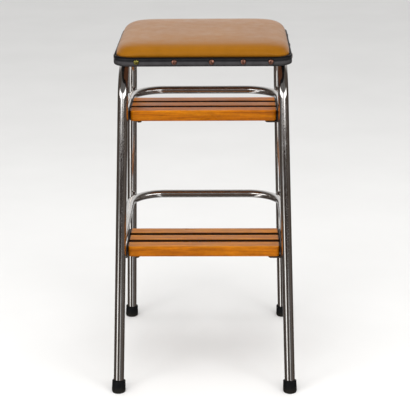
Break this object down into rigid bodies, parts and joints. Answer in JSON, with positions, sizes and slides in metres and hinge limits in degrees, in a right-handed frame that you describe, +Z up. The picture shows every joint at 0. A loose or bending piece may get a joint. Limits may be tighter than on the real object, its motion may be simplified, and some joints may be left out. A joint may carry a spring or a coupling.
{
  "type": "step stool",
  "caption": "Step stool with bent chromed tube side frames, hoops carrying slatted wooden steps, rubber feet and a padded rectangular seat that tips up on rear pivots.",
  "frame": {"origin": "on the floor in the middle of the feet", "axes": "+Z up, -Y towards the front where the steps are climbed, +X to the right seen from the front"},
  "size_m": [0.3412, 0.3851, 0.632],
  "materials": {
    "chrome": "bright chrome plate, worn",
    "foot_rubber": "matt black rubber",
    "varnished_slat": "satin orange-brown varnish over straight grain",
    "dark_bracket": "dark brown paint",
    "zinc_fastener": "dull zinc plate",
    "pressed_hinge": "plain pressed steel",
    "board_ply": "raw plywood",
    "foam": "open foam",
    "seat_vinyl": "satin tan vinyl with a fine grain",
    "edge_vinyl": "satin black vinyl",
    "dome_nail": "aged copper-coloured domes"
  },
  "bodies": {
    "frame": {"side_frame_left": "chrome", "side_frame_right": "chrome", "foot_front_left": "foot_rubber", "foot_rear_left": "foot_rubber", "foot_front_right": "foot_rubber", "foot_rear_right": "foot_rubber", "lower_hoop": "chrome", "upper_hoop": "chrome", "lower_slat_1": "varnished_slat", "lower_slat_2": "varnished_slat", "lower_slat_3": "varnished_slat", "lower_bracket_left": "dark_bracket", "lower_screw_left_1": "zinc_fastener", "lower_screw_left_2": "zinc_fastener", "lower_screw_left_3": "zinc_fastener", "lower_bracket_right": "dark_bracket", "lower_screw_right_1": "zinc_fastener", "lower_screw_right_2": "zinc_fastener", "lower_screw_right_3": "zinc_fastener", "upper_slat_1": "varnished_slat", "upper_slat_2": "varnished_slat", "upper_slat_3": "varnished_slat", "upper_bracket_left": "dark_bracket", "upper_screw_left_1": "zinc_fastener", "upper_screw_left_2": "zinc_fastener", "upper_screw_left_3": "zinc_fastener", "upper_bracket_right": "dark_bracket", "upper_screw_right_1": "zinc_fastener", "upper_screw_right_2": "zinc_fastener", "upper_screw_right_3": "zinc_fastener", "pivot_bolt_left": "zinc_fastener", "pivot_nut_left": "zinc_fastener", "pivot_bolt_right": "zinc_fastener", "pivot_nut_right": "zinc_fastener"},
    "seat": {"seat_hinge_left": "pressed_hinge", "hinge_screw_left_1": "zinc_fastener", "hinge_screw_left_2": "zinc_fastener", "seat_hinge_right": "pressed_hinge", "hinge_screw_right_1": "zinc_fastener", "hinge_screw_right_2": "zinc_fastener", "seat_board": "board_ply", "seat_foam": "foam", "seat_cover": "seat_vinyl", "seat_band": "edge_vinyl", "nail_front_1": "dome_nail", "nail_front_2": "dome_nail", "nail_front_3": "dome_nail", "nail_front_4": "dome_nail", "nail_front_5": "dome_nail", "nail_rear_1": "dome_nail", "nail_rear_2": "dome_nail", "nail_rear_3": "dome_nail", "nail_left_1": "dome_nail", "nail_left_2": "dome_nail", "nail_left_3": "dome_nail", "nail_right_1": "dome_nail", "nail_right_2": "dome_nail", "nail_right_3": "dome_nail", "seat_buffer_left": "foot_rubber", "seat_buffer_right": "foot_rubber"}
  },
  "joints": [
    {"name": "seat_flip", "type": "hinge", "parent": "frame", "child": "seat", "pos_m": [0, 0.15505, 0.55488], "axis": [-1, 0, 0], "range_deg": [0, 105]}
  ]
}
